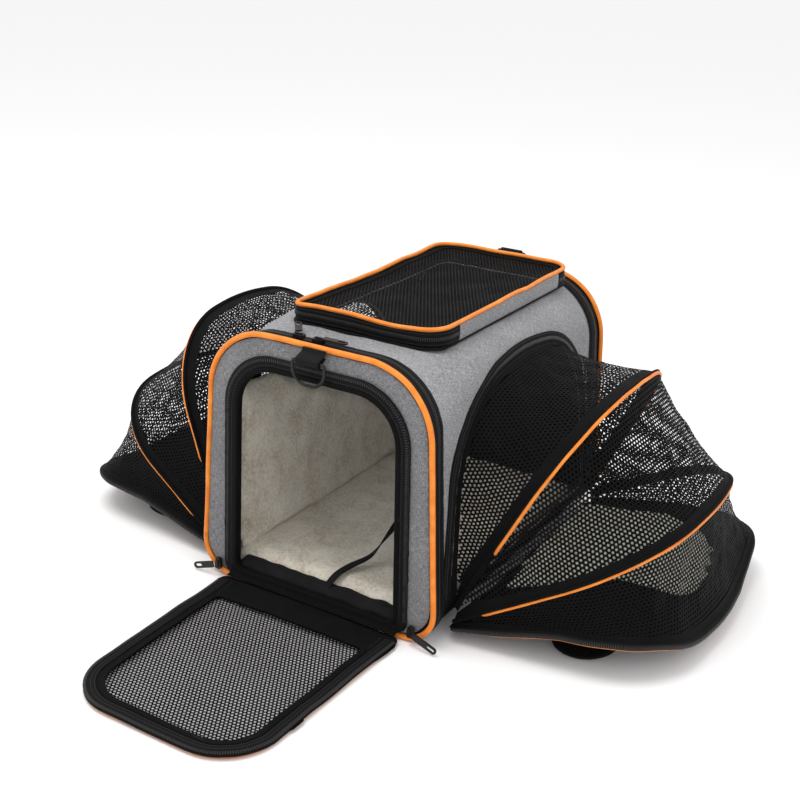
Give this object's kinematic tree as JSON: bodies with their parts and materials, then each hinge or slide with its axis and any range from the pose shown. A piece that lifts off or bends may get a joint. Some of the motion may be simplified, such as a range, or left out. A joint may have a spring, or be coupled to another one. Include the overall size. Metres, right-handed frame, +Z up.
{
  "type": "pet carrier bag",
  "caption": "Soft zipped pet carrier with fold-out mesh side tents, a drop-down mesh door, a mesh roof lid, fleece bedding and strap rings.",
  "frame": {"origin": "centre of the body's base on the floor", "axes": "+X across the body towards the lid's hinge side, +Y from the drop-down door to the back end, +Z up"},
  "size_m": [0.8112, 0.7399, 0.3321],
  "materials": {
    "heather_fabric": "woven heather polyester",
    "black_fabric": "plain black nylon",
    "black_mesh": "open polyester netting",
    "zip_tape": "woven zip tape with moulded teeth",
    "webbing": "ribbed nylon webbing",
    "orange_piping": "satin corded piping",
    "fleece": "soft short-pile fleece",
    "board": "stiff sheet",
    "dark_metal": "semi-gloss black"
  },
  "bodies": {
    "carrier": {"bottom_tray": "heather_fabric", "roof_cover": "heather_fabric", "left_side": "heather_fabric", "right_side": "heather_fabric", "base_board": "board", "fleece_mat": "fleece", "fleece_wing": "fleece", "tether_strap": "webbing", "roof_collar": "zip_tape", "front_end_panel": "heather_fabric", "front_end_tape": "zip_tape", "front_piping": "orange_piping", "front_zip_band": "zip_tape", "back_end_panel": "heather_fabric", "back_piping": "orange_piping", "back_zip_band": "zip_tape", "front_ring_tab": "webbing", "back_ring_tab": "webbing", "left_opening_tape": "zip_tape", "right_opening_tape": "zip_tape", "left_net_inner": "black_mesh", "right_net_inner": "black_mesh"},
    "door": {"door_binding": "zip_tape", "door_mesh": "black_mesh", "door_piping": "orange_piping"},
    "lid": {"lid_wall": "zip_tape", "lid_hinge_strip": "heather_fabric", "lid_mesh": "black_mesh", "lid_piping": "orange_piping"},
    "front_d_ring": {"front_d_ring": "dark_metal"},
    "back_d_ring": {"back_d_ring": "dark_metal"},
    "right_hoop_1": {"right_rib_1": "black_fabric", "right_net_middle": "black_mesh"},
    "right_hoop_2": {"right_rib_2": "black_fabric", "right_net_outer": "black_mesh"},
    "right_tent_floor": {"right_floor_panel": "black_fabric", "right_panel_rim": "zip_tape", "right_handle": "webbing", "right_fleece_flap": "fleece"},
    "left_hoop_1": {"left_rib_1": "black_fabric", "left_net_middle": "black_mesh"},
    "left_hoop_2": {"left_rib_2": "black_fabric", "left_net_outer": "black_mesh"},
    "left_tent_floor": {"left_floor_panel": "black_fabric", "left_panel_rim": "zip_tape", "left_handle": "webbing"},
    "door_right_slider": {"door_right_slider": "dark_metal"},
    "door_right_pull": {"door_right_pull": "dark_metal"},
    "door_left_slider": {"door_left_slider": "dark_metal"},
    "door_left_pull": {"door_left_pull": "dark_metal"},
    "front_band_left_slider": {"front_band_left_slider": "dark_metal"},
    "front_band_left_pull": {"front_band_left_pull": "dark_metal"},
    "front_band_right_slider": {"front_band_right_slider": "dark_metal"},
    "front_band_right_pull": {"front_band_right_pull": "dark_metal"},
    "back_band_slider": {"back_band_slider": "dark_metal"},
    "back_band_pull": {"back_band_pull": "dark_metal"},
    "lid_slider": {"lid_slider": "dark_metal"},
    "lid_pull": {"lid_pull": "dark_metal"}
  },
  "joints": [
    {"name": "right_tent_fold", "type": "hinge", "parent": "carrier", "child": "right_hoop_1", "pos_m": [0.15175, 0, 0.033], "axis": [0, -1, 0], "range_deg": [0, 29.55], "deforming": ["right_net_inner"]},
    {"name": "right_hoop_2_fold", "type": "hinge", "parent": "right_hoop_1", "child": "right_hoop_2", "pos_m": [0.15175, 0, 0.033], "axis": [0, -1, 0], "range_deg": [0, 34.1], "deforming": ["right_net_middle"]},
    {"name": "right_tent_floor_fold", "type": "hinge", "parent": "right_hoop_2", "child": "right_tent_floor", "pos_m": [0.15175, 0, 0.033], "axis": [0, -1, 0], "range_deg": [0, 26.1], "deforming": ["right_net_outer"]},
    {"name": "left_tent_fold", "type": "hinge", "parent": "carrier", "child": "left_hoop_1", "pos_m": [-0.15175, 0, 0.033], "axis": [0, 1, 0], "range_deg": [0, 29.55], "deforming": ["left_net_inner"]},
    {"name": "left_hoop_2_fold", "type": "hinge", "parent": "left_hoop_1", "child": "left_hoop_2", "pos_m": [-0.15175, 0, 0.033], "axis": [0, 1, 0], "range_deg": [0, 34.1], "deforming": ["left_net_middle"]},
    {"name": "left_tent_floor_fold", "type": "hinge", "parent": "left_hoop_2", "child": "left_tent_floor", "pos_m": [-0.15175, 0, 0.033], "axis": [0, 1, 0], "range_deg": [0, 26.1], "deforming": ["left_net_outer"]},
    {"name": "door_swing", "type": "hinge", "parent": "carrier", "child": "door", "pos_m": [0, -0.222, 0.01], "axis": [-1, 0, 0], "range_deg": [0, 90]},
    {"name": "lid_swing", "type": "hinge", "parent": "carrier", "child": "lid", "pos_m": [0.106, 0.02, 0.3084], "axis": [0, 1, 0], "range_deg": [0, 110]},
    {"name": "front_ring_swing", "type": "hinge", "parent": "carrier", "child": "front_d_ring", "pos_m": [0, -0.2325, 0.2975], "axis": [-1, 0, 0], "range_deg": [0, 120]},
    {"name": "back_ring_swing", "type": "hinge", "parent": "carrier", "child": "back_d_ring", "pos_m": [0, 0.2325, 0.319], "axis": [1, 0, 0], "range_deg": [0, 120]},
    {"name": "door_right_zip_travel", "type": "slide", "parent": "carrier", "child": "door_right_slider", "axis": [-0.03, 0, 0.9996], "range_m": [0, 0.19]},
    {"name": "door_right_pull_swing", "type": "hinge", "parent": "door_right_slider", "child": "door_right_pull", "pos_m": [0.13645, -0.2276, 0.01503], "axis": [-0.3401, 0, -0.9404], "range_deg": [0, 80]},
    {"name": "door_left_zip_travel", "type": "slide", "parent": "carrier", "child": "door_left_slider", "axis": [0.03, 0, 0.9996], "range_m": [0, 0.19]},
    {"name": "door_left_pull_swing", "type": "hinge", "parent": "door_left_slider", "child": "door_left_pull", "pos_m": [-0.13645, -0.2276, 0.01503], "axis": [-0.3401, 0, 0.9404], "range_deg": [0, 80]},
    {"name": "front_band_left_zip_travel", "type": "slide", "parent": "carrier", "child": "front_band_left_slider", "axis": [-1, 0, 0], "range_m": [0, 0.02]},
    {"name": "front_band_left_pull_swing", "type": "hinge", "parent": "front_band_left_slider", "child": "front_band_left_pull", "pos_m": [-0.03748, -0.19736, 0.3148], "axis": [0.8, 0.6, 0], "range_deg": [0, 85]},
    {"name": "front_band_right_zip_travel", "type": "slide", "parent": "carrier", "child": "front_band_right_slider", "axis": [1, 0, 0], "range_m": [0, 0.05]},
    {"name": "front_band_right_pull_swing", "type": "hinge", "parent": "front_band_right_slider", "child": "front_band_right_pull", "pos_m": [-0.0022, -0.202, 0.3148], "axis": [0, -1, 0], "range_deg": [0, 85]},
    {"name": "back_band_zip_travel", "type": "slide", "parent": "carrier", "child": "back_band_slider", "axis": [1, 0, 0], "range_m": [0, 0.05]},
    {"name": "back_band_pull_swing", "type": "hinge", "parent": "back_band_slider", "child": "back_band_pull", "pos_m": [-0.0142, 0.202, 0.3148], "axis": [0, -1, 0], "range_deg": [0, 85]},
    {"name": "lid_zip_travel", "type": "slide", "parent": "lid", "child": "lid_slider", "axis": [-1, 0, 0], "range_m": [0, 0.09]},
    {"name": "lid_pull_swing", "type": "hinge", "parent": "lid_slider", "child": "lid_pull", "pos_m": [0.0602, 0.1938, 0.3177], "axis": [0, 0, -1], "range_deg": [0, 85]}
  ],
  "couplings": [
    {"joint": "right_hoop_2_fold", "follows": "right_tent_fold", "ratio": 1.1505},
    {"joint": "right_tent_floor_fold", "follows": "right_tent_fold", "ratio": 0.87977},
    {"joint": "left_hoop_2_fold", "follows": "left_tent_fold", "ratio": 1.1505},
    {"joint": "left_tent_floor_fold", "follows": "left_tent_fold", "ratio": 0.87977}
  ]
}
